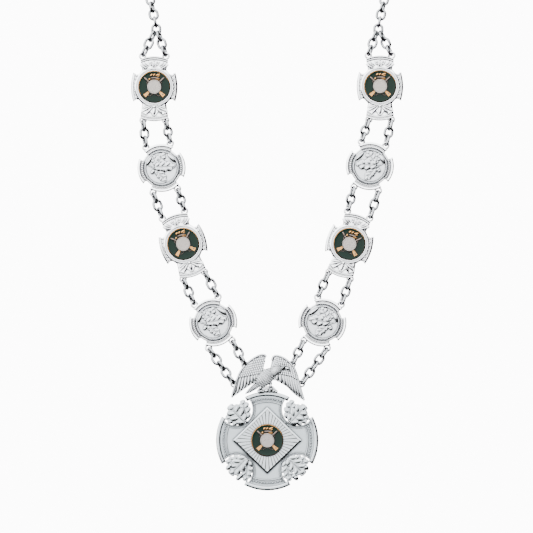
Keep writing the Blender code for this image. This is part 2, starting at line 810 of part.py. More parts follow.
def main():
    clear_scene()
    silver = material("silver_plating", (0.86, 0.87, 0.88), 1.0, 0.22)
    matte = material("matte_silver", (0.72, 0.74, 0.76), 1.0, 0.42)
    green = material("green_enamel", (0.02, 0.08, 0.06), 0.0, 0.15)
    gilt = material("gilt_brass", (0.85, 0.62, 0.32), 1.0, 0.28)
    pale = material("pale_disc", (0.72, 0.69, 0.66), 0.3, 0.45)

    pendant_z = -neck_to_pendant
    models = {
        "enamel": enamel_plaque(),
        "oak": oak_plaque(),
        "medallion": oak_medallion(),
        "roundel": roundel(plate_front - gap),
    }
    field = plate_front - gap - roundel_thickness
    models["emblem"] = emblem(field - gap)
    models["disc"] = disc(field - gap - emblem_thickness - gap)

    ears = {}
    for side, number, kind, across, up, lean in plaque_places:
        place = (across * collar_spread, pendant_z + up * collar_height)
        matrix = leaning(place, lean)
        centres = enamel_ear_centres() if kind == "enamel" else oak_ear_centres()
        for key, (x, z) in centres.items():
            spot = matrix @ Vector((x, 0, z))
            ears[side, number, *key] = (spot.x, spot.z)
        if kind == "enamel":
            copy_of(models["enamel"], f"enamel_plaque_{side}_{number}", matrix, silver)
            copy_of(models["roundel"], f"enamel_roundel_{side}_{number}", matrix, green)
            copy_of(models["emblem"], f"emblem_{side}_{number}", matrix, gilt)
            copy_of(models["disc"], f"centre_disc_{side}_{number}", matrix, pale)
        else:
            copy_of(models["oak"], f"oak_plaque_{side}_{number}", matrix, silver)
            mirrored = Matrix.Scale(-1, 4, (1, 0, 0)) if side == "right" else Matrix()
            copy_of(models["medallion"], f"oak_medallion_{side}_{number}", matrix @ mirrored, matte)

    centre = Matrix.Translation((0, 0, pendant_z))
    copies = [("cross", pendant_cross(), silver), ("lozenge", pendant_lozenge(), silver)]
    for part, model, finish in copies:
        copy_of(model, f"pendant_{part}", centre, finish)
        remove(model)
    seat_back = cross_front - gap - sunk - gap
    lift = Matrix.Translation((0, seat_back - (plate_front - gap), 0))
    for part, finish in (("roundel", green), ("emblem", gilt), ("disc", pale)):
        copy_of(models[part], f"pendant_{part}", centre @ lift, finish)
    spray = leaf_spray()
    for quarter, name in enumerate(("upper_right", "upper_left", "lower_left", "lower_right")):
        turn = Matrix.Rotation(math.radians(-90 * quarter), 4, "Y")
        copy_of(spray, f"leaf_spray_{name}", centre @ turn, matte)
    remove(spray)
    perch = pendant_z + cross_top + gap
    bird = eagle()
    copy_of(bird, "eagle", Matrix.Translation((0, 0, perch)), silver)
    remove(bird)
    for model in models.values():
        remove(model)

    eyes = {}
    for key, share in wing_eyes.items():
        x, z = eagle_point(share)
        eyes[key] = (x, z + perch)
    for side, sign in (("left", -1), ("right", 1)):
        for upper in (1, 2, 3):
            for edge in ("left", "right"):
                strand(f"strand_{side}_{upper}{upper + 1}_{edge}", ears[side, upper, "bottom", edge],
                       ears[side, upper + 1, "top", edge], silver)
        outer, inner = ("left", "right") if side == "left" else ("right", "left")
        strand(f"pendant_strand_{side}_outer", ears[side, 4, "bottom", outer],
               eyes[f"{side}_outer"], silver)
        strand(f"pendant_strand_{side}_inner", ears[side, 4, "bottom", inner],
               eyes[f"{side}_inner"], silver)
        yoke(f"yoke_chain_{side}", sign,
             [ears[side, 1, "top", "left"], ears[side, 1, "top", "right"]], silver)
        back_chain(f"back_chain_{side}", sign, silver)
    back_ring(silver)


main()
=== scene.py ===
import bpy
import math
from mathutils import Matrix, Vector


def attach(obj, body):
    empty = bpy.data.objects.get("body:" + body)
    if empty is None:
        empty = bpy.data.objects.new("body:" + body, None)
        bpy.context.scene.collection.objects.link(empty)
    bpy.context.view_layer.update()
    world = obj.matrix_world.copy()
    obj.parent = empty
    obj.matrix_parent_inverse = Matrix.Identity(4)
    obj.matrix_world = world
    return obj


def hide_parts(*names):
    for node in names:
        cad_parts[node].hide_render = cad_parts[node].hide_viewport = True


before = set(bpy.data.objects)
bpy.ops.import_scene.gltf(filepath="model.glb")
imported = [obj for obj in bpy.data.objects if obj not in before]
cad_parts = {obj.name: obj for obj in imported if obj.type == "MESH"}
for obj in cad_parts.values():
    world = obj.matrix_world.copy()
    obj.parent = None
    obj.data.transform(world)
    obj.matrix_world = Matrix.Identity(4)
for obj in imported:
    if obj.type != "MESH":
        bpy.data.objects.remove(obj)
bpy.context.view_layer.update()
mm = 0.001
root = "root"

# the whole collar, the same sizes as the CAD frame (mm)
collar = {
    "drop": 514,  # ring at the nape down to the pendant's centre
    "spread": 88,
    "height": 276,
    "crossTop": 38.3,  # foot of the eagle over the pendant's centre
}
plaques = [
    # side, number, kind, across, up, lean
    ("left", 1, "enamel", -1.002, 0.999, 0),
    ("left", 2, "oak", -0.937, 0.770, 9),
    ("left", 3, "enamel", -0.746, 0.555, 18.5),
    ("left", 4, "oak", -0.479, 0.333, 18),
    ("right", 1, "enamel", 1.000, 1.001, 0),
    ("right", 2, "oak", 0.910, 0.775, -9.3),
    ("right", 3, "enamel", 0.728, 0.555, -17.5),
    ("right", 4, "oak", 0.489, 0.333, -17.8),
]


def newObject(name, data):
    made = bpy.data.objects.new(name, data)
    bpy.context.scene.collection.objects.link(made)
    return made


# camera, light and floor
view = {"centreX": -0.6, "centreUp": 135.6, "width": 416, "distance": 4200}


def makeCamera():
    data = bpy.data.cameras.new("camera")
    data.type = "PERSP"
    data.sensor_width = 36
    data.lens = 36 * view["distance"] / view["width"]
    data.clip_end = 50
    cam = newObject("camera", data)
    cam.location = (view["centreX"] * mm, -view["distance"] * mm, (view["centreUp"] - collar["drop"]) * mm)
    cam.rotation_euler = (math.radians(90), 0, 0)
    bpy.context.scene.camera = cam


light = {
    # brightness of the studio by direction, from above on the left to below on the right
    "sky": [(-1.0, 7.5), (-0.6, 7.2), (-0.38, 6.9), (-0.30, 2.2), (-0.23, 0.08), (-0.08, 0.006), (0.5, 0.02)],
    "darkWay": (0.42, 0.42, -0.90),
    "behind": 3.2,  # and a soft light from straight behind
    "behindFrom": 0.62,
    "behindFull": 0.80,
    "backdrop": 12.0,  # what the camera sees behind the jewel
    "keyPower": 3,
    "keySize": 0.5,
    "keyPlace": (-0.8, -1.1, 0.5),
    "keyAim": (0, 0, -0.38),
    "floorDrop": 2400,
    "floorRadius": 150,
}


def addNode(tree, kind, values=None, operation=None):
    node = tree.nodes.new(kind)
    if operation:
        node.operation = operation
    for name, value in (values or {}).items():
        node.inputs[name].default_value = value
    return node


def wireUp(tree, *ways):
    for source, out, target, into in ways:
        tree.links.new(source.outputs[out], target.inputs[into])


def makeLight():
    world = bpy.data.worlds.new("studio")
    bpy.context.scene.world = world
    world.use_nodes = True
    tree = world.node_tree
    tree.nodes.clear()
    top = light["sky"][0][1]
    out = addNode(tree, "ShaderNodeOutputWorld")
    back = addNode(tree, "ShaderNodeBackground", {"Strength": top})
    coord = addNode(tree, "ShaderNodeTexCoord")
    dot = addNode(tree, "ShaderNodeVectorMath", {1: Vector(light["darkWay"]).normalized()}, "DOT_PRODUCT")
    half = addNode(tree, "ShaderNodeMapRange", {"From Min": -1})
    ramp = addNode(tree, "ShaderNodeValToRGB")
    for index, (way, bright) in enumerate(light["sky"]):
        stops = ramp.color_ramp.elements
        stop = stops[index] if index < 2 else stops.new(1)
        stop.position = (way + 1) / 2
        stop.color = (bright / top,) * 3 + (1,)
    depth = addNode(tree, "ShaderNodeSeparateXYZ")
    rear = addNode(tree, "ShaderNodeMapRange", {
        "From Min": light["behindFrom"], "From Max": light["behindFull"], "To Max": light["behind"] / top})
    both = addNode(tree, "ShaderNodeVectorMath", operation="ADD")
    plain = addNode(tree, "ShaderNodeBackground", {"Color": (1, 1, 1, 1), "Strength": light["backdrop"]})
    ray = addNode(tree, "ShaderNodeLightPath")
    either = addNode(tree, "ShaderNodeMixShader")
    wireUp(tree, (coord, "Generated", dot, 0), (dot, "Value", half, "Value"), (half, "Result", ramp, "Fac"),
           (coord, "Generated", depth, "Vector"), (depth, "Y", rear, "Value"), (ramp, "Color", both, 0),
           (rear, "Result", both, 1), (both, "Vector", back, "Color"), (ray, "Is Camera Ray", either, "Fac"),
           (back, "Background", either, 1), (plain, "Background", either, 2),
           (either, "Shader", out, "Surface"))

    lamp = bpy.data.lights.new("key", "AREA")
    lamp.energy = light["keyPower"]
    lamp.size = light["keySize"]
    key = newObject("key", lamp)
    key.location = light["keyPlace"]
    aim = Vector(light["keyAim"]) - key.location
    key.rotation_euler = aim.to_track_quat("-Z", "Y").to_euler()


def makeFloor(finish):
    clearPick()
    bpy.ops.mesh.primitive_cylinder_add(vertices=96, radius=light["floorRadius"] * mm, depth=0.02,
                                        location=(0, 0, -light["floorDrop"] * mm - 0.01))
    floor = setFinish(bake(bpy.context.object), finish)
    floor.name = "floor"


cast = {
    # painted shade: ambient occlusion over this reach darkens every finish in its hollows and between parts
    "paintedShadeReach": 0.0019,  # how far round a point its hollows are felt (m)
    "paintedShadeFrom": 0.58, "paintedShadeTo": 0.97,
    "cloudScale": 60, "cloudLow": 0.92, "cloudHigh": 1.06, "cloudRough": 0.16,
    "sockets": [("INPUT", "Bright", "Color"), ("INPUT", "Painted Shade", "Color"), ("INPUT", "Grain Scale", "Float"),
                ("INPUT", "Rough", "Float"), ("OUTPUT", "Colour", "Color"), ("OUTPUT", "Roughness", "Float"),
                ("OUTPUT", "Height", "Float")],
}


def castGroup():
    # fine cast grain and painted shade: colour darkened towards the shade colour in the hollows by ambient
    # occlusion, roughness spots and a height
    group = bpy.data.node_groups.new("castGrainAndPaintedShade", "ShaderNodeTree")
    for way, name, kind in cast["sockets"]:
        group.interface.new_socket(name=name, in_out=way, socket_type="NodeSocket" + kind)
    given = addNode(group, "NodeGroupInput")
    out = addNode(group, "NodeGroupOutput")
    coord = addNode(group, "ShaderNodeTexCoord")
    # painted shade: where ambient occlusion finds a hollow, the bright colour turns towards the shade colour
    occlusion = addNode(group, "ShaderNodeAmbientOcclusion", {"Distance": cast["paintedShadeReach"]})
    occlusion.samples = 8
    opened = addNode(group, "ShaderNodeMapRange", {
        "From Min": cast["paintedShadeFrom"], "From Max": cast["paintedShadeTo"]})
    cloud = addNode(group, "ShaderNodeTexNoise", {"Scale": cast["cloudScale"], "Detail": 4})
    shade = addNode(group, "ShaderNodeMix")
    shade.data_type = "RGBA"
    cloudRange = addNode(group, "ShaderNodeMapRange", {
        "To Min": cast["cloudLow"], "To Max": cast["cloudHigh"]})
    tint = addNode(group, "ShaderNodeVectorMath", operation="SCALE")
    grain = addNode(group, "ShaderNodeTexNoise", {"Detail": 3})
    spots = addNode(group, "ShaderNodeMath", {1: cast["cloudRough"]}, "MULTIPLY_ADD")
    wireUp(group, (occlusion, "AO", opened, "Value"), (coord, "Object", cloud, "Vector"),
           (opened, "Result", shade, "Factor"), (given, "Painted Shade", shade, "A"), (given, "Bright", shade, "B"),
           (cloud, "Fac", cloudRange, "Value"), (shade, "Result", tint, "Vector"),
           (cloudRange, "Result", tint, "Scale"), (tint, "Vector", out, "Colour"),
           (coord, "Object", grain, "Vector"), (given, "Grain Scale", grain, "Scale"),
           (grain, "Fac", out, "Height"), (cloud, "Fac", spots, 0), (given, "Rough", spots, 2),
           (spots, "Value", out, "Roughness"))
    return group


finishes = {
    # bright, painted shade in the hollows, metallic, rough, grain scale, bump
    "silver": ((0.94, 0.96, 0.98), (0.012, 0.014, 0.016), 1.0, 0.10, 700, 0.05),
    # the chain's silver painted darker: painted shade for the shading round its wire
    "shadedChainSilver": ((0.275, 0.288, 0.300), (0.010, 0.012, 0.014), 1.0, 0.04, 500, 0.02),
    # these three are the plaques' silver painted darker, for the pendant, the eagle, the leaf sprays and the
    # oak medallions: painted shade; their roughness and grain are their own
    "shadedMatteSilver": ((0.36, 0.398, 0.422), (0.012, 0.014, 0.016), 1.0, 0.24, 1600, 0.12),
    "shadedRimSilver": ((0.345, 0.372, 0.390), (0.012, 0.014, 0.016), 1.0, 0.12, 900, 0.06),
    "shadedReliefSilver": ((0.46, 0.48, 0.50), (0.008, 0.009, 0.010), 1.0, 0.12, 800, 0.08),
    "gilt": ((0.34, 0.18, 0.065), (0.03, 0.012, 0.004), 1.0, 0.16, 900, 0.10),
    "gunMetalAndShade": ((0.115, 0.092, 0.080), (0.012, 0.010, 0.008), 1.0, 0.26, 900, 0.10),
    "enamel": ((0.0022, 0.0105, 0.0070), (0.0010, 0.0040, 0.0028), 0.0, 0.12, 260, 0.02),
    "paleDisc": ((0.235, 0.215, 0.20), (0.03, 0.027, 0.025), 1.0, 0.20, 1500, 0.45),
    "floor": ((0.82, 0.82, 0.82), (0.7, 0.7, 0.7), 0.0, 0.55, 40, 0.05),
}


def makeFinish(name, group):
    bright, paintedShade, metallic, rough, scale, bump = finishes[name]
    made = bpy.data.materials.new(name)
    made.use_nodes = True
    tree = made.node_tree
    shader = tree.nodes["Principled BSDF"]
    surface = addNode(tree, "ShaderNodeGroup")
    surface.node_tree = group
    for socket, value in (("Bright", (*bright, 1)), ("Painted Shade", (*paintedShade, 1)), ("Rough", rough),
                          ("Grain Scale", scale)):
        surface.inputs[socket].default_value = value
    lift = addNode(tree, "ShaderNodeBump", {"Strength": bump, "Distance": 0.0002})
    wireUp(tree, (surface, "Height", lift, "Height"), (surface, "Colour", shader, "Base Color"),
           (surface, "Roughness", shader, "Roughness"), (lift, "Normal", shader, "Normal"))
    shader.inputs["Metallic"].default_value = metallic
    if name == "enamel":
        shader.inputs["Specular IOR Level"].default_value = 0.08
    return made


def clearPick():
    bpy.ops.object.select_all(action="DESELECT")


def pick(obj):
    clearPick()
    obj.select_set(True)
    bpy.context.view_layer.objects.active = obj


def bake(obj):
    pick(obj)
    for step in list(obj.modifiers):
        bpy.ops.object.modifier_apply(modifier=step.name)
    bpy.ops.object.transform_apply(location=True, rotation=True, scale=True)
    return obj


def join(parts, name):
    clearPick()
    for part in parts:
        part.select_set(True)
    bpy.context.view_layer.objects.active = parts[0]
    if len(parts) > 1:
        bpy.ops.object.join()
    made = bpy.context.view_layer.objects.active
    made.name = name
    made.data.name = name
    return made


def polar(radius, degrees, centre=(0, 0)):
    angle = math.radians(degrees)
    return (centre[0] + radius * math.cos(angle), centre[1] + radius * math.sin(angle))


def arc(radius, startDeg, endDeg, steps, centre=(0, 0)):
    return [polar(radius, startDeg + (endDeg - startDeg) * step / steps, centre) for step in range(steps + 1)]


def mirrored(points):
    # the right half first, then its mirror back to the start
    return points + [(-x, z) for x, z in reversed(points) if x > 0.001]


def finishEdges(obj, degrees):
    pick(obj)
    bpy.ops.object.shade_smooth_by_angle(angle=math.radians(degrees))
    return obj


def faceOut():
    # in edit mode: every face of the piece turned outwards, then back to object mode
    bpy.ops.mesh.select_all(action="SELECT")
    bpy.ops.mesh.normals_make_consistent(inside=False)
    bpy.ops.object.mode_set(mode="OBJECT")


def loopOf(points, fill):
    # a loop through these (x, depth, z) points, left in edit mode with all of it selected
    clearPick()
    bpy.ops.mesh.primitive_circle_add(vertices=len(points), fill_type=fill)
    loop = bpy.context.object
    for vert, (x, depth, z) in zip(loop.data.vertices, points):
        vert.co = (x * mm, depth * mm, z * mm)
    bpy.ops.object.mode_set(mode="EDIT")
    bpy.ops.mesh.select_all(action="SELECT")
    return loop


def cutPlate(outline, back, front, edge=0.2):
    # a flat casting: the outline pushed forward, then drawn in twice for a rounded front edge
    plate = loopOf([(x, back, z) for x, z in outline], "NGON")
    bpy.ops.mesh.extrude_region_move(TRANSFORM_OT_translate={"value": (0, (front + edge - back) * mm, 0)})
    for inward, forward in ((0.4, 0.7), (0.6, 0.3)):
        bpy.ops.mesh.inset(thickness=inward * edge * mm, depth=0)
        bpy.ops.transform.translate(value=(0, -forward * edge * mm, 0))
    faceOut()
    return finishEdges(plate, 20)


def turned(section, steps=72):
    # a closed section of (radius, depth) pairs spun round the Y axis
    piece = loopOf([(radius, depth, 0) for radius, depth in section], "NOTHING")
    bpy.ops.mesh.spin(steps=steps, angle=math.tau, center=(0, 0, 0), axis=(0, 1, 0))
    bpy.ops.mesh.select_all(action="SELECT")
    bpy.ops.mesh.remove_doubles(threshold=0.00001)
    bpy.ops.mesh.delete_loose()
    faceOut()
    return finishEdges(piece, 40)


def ridge(points, radius, depth):
    # a raised line: a round wire laid along the points, half sunk in what it lies on
    data = bpy.data.curves.new("ridge", "CURVE")
    data.dimensions = "3D"
    data.bevel_depth = radius * mm
    data.bevel_resolution = 2
    data.use_fill_caps = True
    line = data.splines.new("POLY")
    line.points.add(len(points) - 1)
    for point, (x, z) in zip(line.points, points):
        point.co = (x * mm, depth * mm, z * mm, 1)
    pick(newObject("ridge", data))
    bpy.ops.object.convert(target="MESH")
    bpy.ops.object.shade_smooth()
    return bpy.context.object


def pebbleModel():
    # the small round form that beads, feathers, lobes and veins are laid from
    clearPick()
    bpy.ops.mesh.primitive_uv_sphere_add(segments=12, ring_count=8, radius=1)
    pebble = bpy.context.object
    pebble.name = "pebble"
    bpy.ops.object.shade_smooth()
    return pebble


def lay(start, end, width, height, depth):
    # places the pebble as a long drop between two points; height is how far it stands out
    x = (start[0] + end[0]) / 2
    z = (start[1] + end[1]) / 2
    reach = math.dist(start, end) / 2
    lean = math.atan2(end[1] - start[1], end[0] - start[0])
    return (Matrix.Translation((x * mm, depth * mm, z * mm)) @ Matrix.Rotation(-lean, 4, "Y")
            @ Matrix.Diagonal((reach * mm, height * mm, width / 2 * mm, 1)))


def dot(x, z, radius, depth):
    return Matrix.Translation((x * mm, depth * mm, z * mm)) @ Matrix.Scale(radius * mm, 4)


def copyOf(model, name, matrix):
    # with a mesh of its own, its faces still turned outwards when the matrix mirrors
    mesh = model.data.copy()
    mesh.transform(matrix)
    if matrix.determinant() < 0:
        mesh.flip_normals()
    return newObject(name, mesh)


def stamp(source, matrices):
    return join([copyOf(source, "copy", matrix) for matrix in matrices], source.name + "Set")


def leaning(x, z, lean):
    return Matrix.Translation((x * mm, 0, z * mm)) @ Matrix.Rotation(math.radians(-lean), 4, "Y")


def setFinish(obj, finish):
    obj.data.materials.clear()
    obj.data.materials.append(finish)
    return obj


def placeCopy(model, name, matrix, node):
    # one finished piece: the model's mesh at its place, riding on the frame
    piece = copyOf(model, name, matrix)
    piece.data.name = name
    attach(piece, root)
    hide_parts(node)


ear = {"middle": 2.32, "wall": 0.70, "halfDepth": 0.95, "hole": 1.65, "sides": 6}


def wireRing(middle, wall, around, across, turn=0):
    clearPick()
    bpy.ops.mesh.primitive_torus_add(major_segments=around, minor_segments=across, major_radius=middle * mm,
                                     minor_radius=wall * mm, rotation=(math.radians(turn), 0, 0))
    return bpy.context.object


def earsAt(centres):
    # facing rings that the chain hangs in
    ring = wireRing(ear["middle"], ear["wall"], 28, 12, 90)
    ring.scale = (1, 1, ear["halfDepth"] / ear["wall"])
    bake(ring)
    bpy.ops.object.shade_smooth()
    made = stamp(ring, [Matrix.Translation((x * mm, 0, z * mm)) for x, z in centres])
    bpy.data.objects.remove(ring)
    return made


enamelPlaque = {
    "back": 1.0, "face": -1.0,
    "halfWidth": 18.2, "armBow": 1.8, "armHalf": 11.3,
    "neck": 9.4, "top": 24.1, "bottom": 26.8,
    "barHalf": 10.7, "barWidth": 2.6, "barBow": 2.3,
    "earTop": (0.85, 1.0), "earBottom": (0.82, 0.965),
    "beads": 7, "beadRadius": 0.7, "beadInset": 3.0,
    "veinWidth": 0.45,
}
# top fan and low acanthus: root, tip, width, height
topFan = [
    ((4.8, 13.6), (10.9, 17.0), 2.0, 0.95),
    ((4.4, 14.6), (10.0, 18.8), 1.5, 0.85),
    ((3.6, 15.4), (8.0, 19.7), 1.4, 0.80),
    ((1.6, 15.6), (4.8, 20.2), 1.3, 0.75),
]
lowFan = [
    ((1.8, -14.2), (9.4, -17.0), 1.6, 0.8),
    ((1.4, -14.8), (10.0, -19.7), 2.2, 0.95),
    ((0.9, -15.4), (6.6, -21.4), 2.3, 0.9),
]

# the palmette's and the acanthus's silhouettes, right half
topPalmette = [
    (0.0, 20.9), (5.0, 20.4), (8.6, 19.5), (10.4, 18.6), (11.3, 16.9), (10.0, 16.0), (8.8, 14.6), (7.0, 14.2),
    (4.9, 12.8), (0.0, 12.9),
]
lowAcanthus = [
    (0.0, -13.0), (3.0, -13.9), (6.5, -14.9), (9.0, -16.4), (10.4, -18.4), (10.4, -20.0), (8.7, -20.5),
    (6.6, -22.0), (4.9, -20.7), (3.7, -19.3), (2.6, -20.3), (1.7, -22.0), (0.0, -23.0),
]


def enamelEars():
    centres = {}
    for end, key, way in (("top", "earTop", 1), ("bottom", "earBottom", -1)):
        across, up = enamelPlaque[key]
        for side, sign in (("left", -1), ("right", 1)):
            centres[end, side] = (sign * across * enamelPlaque["barHalf"], way * up * enamelPlaque[end])
    return centres


def barLine(crown, inset, share=1.0, steps=10):
    way = math.copysign(1, crown)
    half = enamelPlaque["barHalf"] * share
    line = []
    for step in range(steps + 1):
        x = half * (2 * step / steps - 1)
        line.append((x, crown - way * (inset + enamelPlaque["barBow"] * (x / enamelPlaque["barHalf"]) ** 2)))
    return line


def armEdge(inset, reach=1.0, steps=10):
    half = enamelPlaque["armHalf"]
    bow = enamelPlaque["armBow"]
    points = []
    for step in range(steps + 1):
        z = half * reach * (1 - 2 * step / steps)
        points.append((enamelPlaque["halfWidth"] - inset - bow * (z / half) ** 2, z))
    return points


def makeEnamelPlaque(pebble):
    face = enamelPlaque["face"]
    top = enamelPlaque["top"]
    low = -enamelPlaque["bottom"]
    width = enamelPlaque["barWidth"]
    half = enamelPlaque["barHalf"]
    right = barLine(top, 0)[5:]
    bow = enamelPlaque["barBow"]
    neck = enamelPlaque["neck"]
    right += [(half - 0.1, top - bow - width), (half - 0.3, 17.6), (neck, 13.2), (12.2, 10.0), (14.2, 9.7)]
    right += armEdge(0)
    right += [(14.2, -9.7), (12.2, -10.0), (neck, -13.2), (half - 0.4, -19.5), (half, low + bow + width)]
    right += barLine(low, 0)[5:][::-1]
    parts = [cutPlate(mirrored(right), enamelPlaque["back"], face, 1.35)]
    # raised ring with a groove between its two crests
    parts.append(turned([(12.6, face + 0.4), (12.6, -2.1), (12.8, -2.35), (13.1, -2.35), (13.6, -1.75),
                         (13.9, -1.75), (14.3, -2.1), (14.6, -2.1), (15.6, face - 0.2), (15.6, face + 0.4)]))
    for crown, inset, radius in ((top, 0.75, 0.62), (top, 2.3, 0.5), (low, 0.9, 0.6), (low, 3.0, 0.45)):
        parts.append(ridge(barLine(crown, inset, 0.97), radius, face - 0.25))
    for sign in (-1, 1):
        for inset, radius, reach in ((1.5, 0.42, 0.94), (4.2, 0.3, 0.62)):
            edge = [(sign * x, z) for x, z in armEdge(inset, reach)]
            parts.append(ridge(edge, radius, face - 0.1))
    parts.append(cutPlate(mirrored(topPalmette), face + 0.3, face - 0.75, 0.5))
    parts.append(cutPlate(mirrored(lowAcanthus), face + 0.3, face - 0.7, 0.45))
    drops = []
    for sign in (-1, 1):
        for x, z in armEdge(enamelPlaque["beadInset"], 0.78, enamelPlaque["beads"] - 1):
            drops.append(dot(sign * x, z, enamelPlaque["beadRadius"], face - 0.12))
        for start, end, thick, high in topFan + lowFan:
            a = (sign * start[0], start[1])
            b = (sign * end[0], end[1])
            drops.append(lay(a, b, thick, high, face - 0.35))
            drops.append(lay(a, b, enamelPlaque["veinWidth"], high + 0.28, face - 0.35))
    # centre lobe below with the boss at its root, and the beaded flower above
    drops.append(lay((0, -14.8), (0, -22.4), 2.9, 0.95, face - 0.35))
    drops.append(lay((0, -15.4), (0, -22.0), enamelPlaque["veinWidth"], 1.25, face - 0.35))
    drops.append(dot(0, -15.6, 1.1, face - 0.9))
    for turn, reach in ((146, 3.4), (120, 4.3), (90, 4.9), (60, 4.3), (34, 3.4)):
        drops.append(dot(*polar(reach, turn, (0, 15.4)), 0.62, face - 0.95))
        drops.append(lay((0, 15.2), polar(0.8 * reach, turn, (0, 15.4)), 0.9, 0.85, face - 0.5))
    parts.append(stamp(pebble, drops))
    parts.append(earsAt(enamelEars().values()))
    return join(parts, "enamelPlaqueModel")


# the inlay: enamel roundel, rifles and hat, plain disc
inlay = {
    "back": -1.3, "field": -2.25, "rimTop": -2.8, "radius": 12.5, "rim": 0.55,
    "emblemBack": -2.35, "discBack": -3.45, "discFront": -4.1, "discRadius": 5.45,
    "butt": [(3.3, -4.0), (4.3, -3.1), (6.1, -4.3), (8.7, -6.2), (6.6, -8.4), (4.6, -6.0)],
    "buttHole": (6.7, -5.9),
    "sling": [(5.0, -6.6), (3.6, -7.2), (2.4, -6.6), (0.7, -5.5)],
}


def makeRoundel(enamel, gilt):
    radius = inlay["radius"]
    inner = radius - inlay["rim"]
    back = inlay["back"]
    level = inlay["field"]
    field = turned([(0, back), (inner + 0.2, back), (inner + 0.2, level - 0.12), (inner - 0.9, level),
                    (inner - 2.5, level + 0.05), (0, level + 0.05)])
    setFinish(field, enamel)
    rim = turned([(inner, back), (radius, back), (radius, -2.45), (radius - 0.12, -2.72),
                  (radius - 0.35, inlay["rimTop"]), (inner + 0.12, -2.70), (inner, -2.45)], 96)
    setFinish(rim, gilt)
    return join([field, rim], "roundelModel")


def makeEmblem(pebble, gilt, dark):
    back = inlay["emblemBack"]
    golds = []
    darks = []
    for sign in (-1, 1):
        # barrel with its broad bayonet, above
        darks.append(lay((sign * 2.6, 2.4), (sign * 6.4, 5.9), 1.7, 0.5, back - 0.15))
        darks.append(lay((sign * 4.4, 4.0), (sign * 8.1, 7.6), 1.5, 0.45, back - 0.2))
        darks.append(lay((sign * 4.9, 1.6), (sign * 5.9, 4.0), 0.6, 0.35, back - 0.2))
        # butt, below, and the guard and sling between the butts
        golds.append(cutPlate([(sign * x, z) for x, z in inlay["butt"]], back, back - 0.5, 0.2))
        wire = [(sign * x, z) for x, z in inlay["sling"]]
        for start, end in zip(wire, wire[1:]):
            darks.append(lay(start, end, 0.55, 0.3, back - 0.2))
    darks.append(lay((-2.8, 7.0), (4.2, 6.9), 1.5, 0.45, back - 0.1))  # crown of the hat, in shade
    darks.append(dot(inlay["buttHole"][0], inlay["buttHole"][1], 0.6, back - 0.2))
    hat = [
        lay((-4.0, 4.9), (-3.4, 7.0), 1.6, 0.6, back - 0.15),  # cockade
        lay((-3.2, 5.2), (4.6, 5.3), 0.9, 0.5, back - 0.15),  # brim
        lay((0.8, 6.4), (4.8, 6.1), 0.8, 0.5, back - 0.2),
        lay((-3.1, 8.2), (-1.2, 10.1), 1.8, 0.62, back - 0.15),  # plume, curling over to the right
        lay((-1.0, 8.1), (0.8, 10.3), 1.6, 0.66, back - 0.15),
        lay((0.9, 8.6), (4.9, 10.0), 1.8, 0.62, back - 0.15),
        lay((2.2, 7.9), (4.6, 8.7), 1.2, 0.55, back - 0.15),
    ]
    golds.append(stamp(pebble, hat))
    gold = setFinish(join(golds, "gold"), gilt)
    # dark metal for the rifles' barrels, bayonets, guard, sling and butt hole, and painted shade on the hat's
    # crown
    darkMetalAndShade = setFinish(stamp(pebble, darks), dark)
    return join([gold, darkMetalAndShade], "emblemModel")


def makeDisc(pale):
    radius = inlay["discRadius"]
    front = inlay["discFront"]
    sunk = front + 0.14
    back = inlay["discBack"]
    disc = turned([(0, back), (radius, back), (radius, front + 0.15), (radius - 0.15, front),
                   (radius - 0.5, front), (radius - 0.62, sunk), (radius - 0.8, sunk), (0, sunk)])
    return setFinish(disc, pale)


# one oak leaf, used on the medallions and in the pendant's corners
oakLeaf = {
    # along, half width, as shares of length and width
    "lobes": [(0.24, 0.38), (0.49, 0.50), (0.74, 0.42)],
    "waists": [(0.0, 0.07), (0.36, 0.24), (0.61, 0.28), (0.87, 0.20)],
    # how each lobe rounds: along from its middle, share of its half width
    "round": [(-0.085, 0.80), (-0.06, 0.93), (-0.02, 1.0), (0.03, 1.0), (0.07, 0.92), (0.09, 0.78)],
    "tip": [(0.91, 0.23), (0.96, 0.19), (0.99, 0.10)],
    "edge": 0.56,
}


def leafOutline(length, width):
    # each lobe rounds forward from one waist to the next
    right = [(0.0, oakLeaf["waists"][0][1] * width)]
    for (waistAt, waistHalf), (lobeAt, lobeHalf) in zip(oakLeaf["waists"], oakLeaf["lobes"]):
        if waistAt:
            right.append((waistAt * length, waistHalf * width))
        for ahead, out in oakLeaf["round"]:
            right.append(((lobeAt + ahead) * length, lobeHalf * out * width))
    right += [(at * length, half * width) for at, half in [oakLeaf["waists"][-1], *oakLeaf["tip"]]]
    return right + [(x, -z) for x, z in right[::-1]]


def makeLeaf(pebble, length, width, back, front):
    # a lobed blade with a low swelling in every lobe, side veins and a rib; it lies along +X
    rise = back - front
    blade = cutPlate(leafOutline(length, width), back, front + 0.22 * rise, oakLeaf["edge"] * rise)
    drops = []
    base = front + 0.58 * rise
    for at, half in oakLeaf["lobes"]:
        for sign in (-1, 1):
            start = ((at - 0.22) * length, 0)
            end = ((at + 0.04) * length, sign * half * 0.99 * width)
            drops.append(lay(start, end, 0.22 * length, 0.52 * rise, base))
            drops.append(lay(start, end, 0.035 * length, 0.62 * rise, base))
    drops.append(lay((0.70 * length, 0), (0.99 * length, 0), 0.36 * width, 0.52 * rise, base))
    drops.append(lay((-0.03 * length, 0), (0.95 * length, 0), 0.075 * width, 0.72 * rise, base))
    return join([blade, stamp(pebble, drops)], "leaf")


def putLeaf(pebble, length, width, turn, foot, back, front):
    leaf = makeLeaf(pebble, length, width, back, front)
    leaf.matrix_world = leaning(foot[0], foot[1], turn)
    return bake(leaf)


